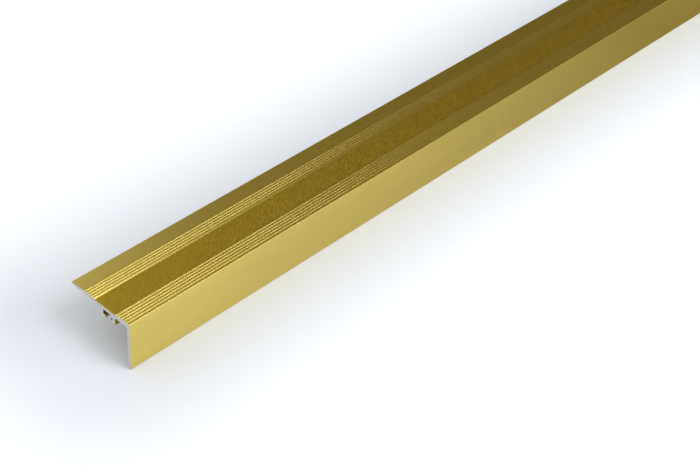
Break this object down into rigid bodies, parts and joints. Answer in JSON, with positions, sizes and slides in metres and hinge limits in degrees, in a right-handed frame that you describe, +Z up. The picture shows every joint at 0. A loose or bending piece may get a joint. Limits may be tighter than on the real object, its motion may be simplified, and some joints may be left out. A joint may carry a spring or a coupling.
{
  "type": "stair edge threshold strip",
  "caption": "Anodised aluminium angle strip with ribbed top, anti-slip insert and hidden pin fixings, for the edge of a floor covering on a step.",
  "frame": {"origin": "mid-length of the strip, on the inner face of the riser leg, at the height of the fixing channel's feet", "axes": "+X along the strip, +Y from the riser leg towards the tread and floor covering, +Z up"},
  "size_m": [0.9, 0.038, 0.0264],
  "materials": {
    "anodised_gold": "satin gold anodised, with pale raw metal on the two saw-cut ends",
    "adhesive": "clear tacky mounting adhesive",
    "insert_film": "matte coloured carrier film",
    "insert_grit": "fine mineral grit bound in gold-brown resin",
    "zinc_steel": "bright zinc plate",
    "nylon": "natural moulded nylon"
  },
  "bodies": {
    "strip": {"profile": "anodised_gold", "insert_adhesive": "adhesive", "insert_film": "insert_film", "insert_grit": "insert_grit"},
    "pin_1": {"fixing_pin_1": "zinc_steel"},
    "plug_1": {"wall_plug_1": "nylon"},
    "pin_2": {"fixing_pin_2": "zinc_steel"},
    "plug_2": {"wall_plug_2": "nylon"},
    "pin_3": {"fixing_pin_3": "zinc_steel"},
    "plug_3": {"wall_plug_3": "nylon"},
    "pin_4": {"fixing_pin_4": "zinc_steel"},
    "plug_4": {"wall_plug_4": "nylon"},
    "pin_5": {"fixing_pin_5": "zinc_steel"},
    "plug_5": {"wall_plug_5": "nylon"}
  },
  "joints": [
    {"name": "pin_1_slide", "type": "slide", "parent": "strip", "child": "pin_1", "axis": [1, 0, 0], "range_m": [-0.045, 0.095]},
    {"name": "plug_1_push", "type": "slide", "parent": "pin_1", "child": "plug_1", "axis": [0, 0, 1], "range_m": [-0.006, 0]},
    {"name": "pin_2_slide", "type": "slide", "parent": "strip", "child": "pin_2", "axis": [1, 0, 0], "range_m": [-0.095, 0.095]},
    {"name": "plug_2_push", "type": "slide", "parent": "pin_2", "child": "plug_2", "axis": [0, 0, 1], "range_m": [-0.006, 0]},
    {"name": "pin_3_slide", "type": "slide", "parent": "strip", "child": "pin_3", "axis": [1, 0, 0], "range_m": [-0.095, 0.095]},
    {"name": "plug_3_push", "type": "slide", "parent": "pin_3", "child": "plug_3", "axis": [0, 0, 1], "range_m": [-0.006, 0]},
    {"name": "pin_4_slide", "type": "slide", "parent": "strip", "child": "pin_4", "axis": [1, 0, 0], "range_m": [-0.095, 0.095]},
    {"name": "plug_4_push", "type": "slide", "parent": "pin_4", "child": "plug_4", "axis": [0, 0, 1], "range_m": [-0.006, 0]},
    {"name": "pin_5_slide", "type": "slide", "parent": "strip", "child": "pin_5", "axis": [1, 0, 0], "range_m": [-0.095, 0.045]},
    {"name": "plug_5_push", "type": "slide", "parent": "pin_5", "child": "plug_5", "axis": [0, 0, 1], "range_m": [-0.006, 0]}
  ]
}
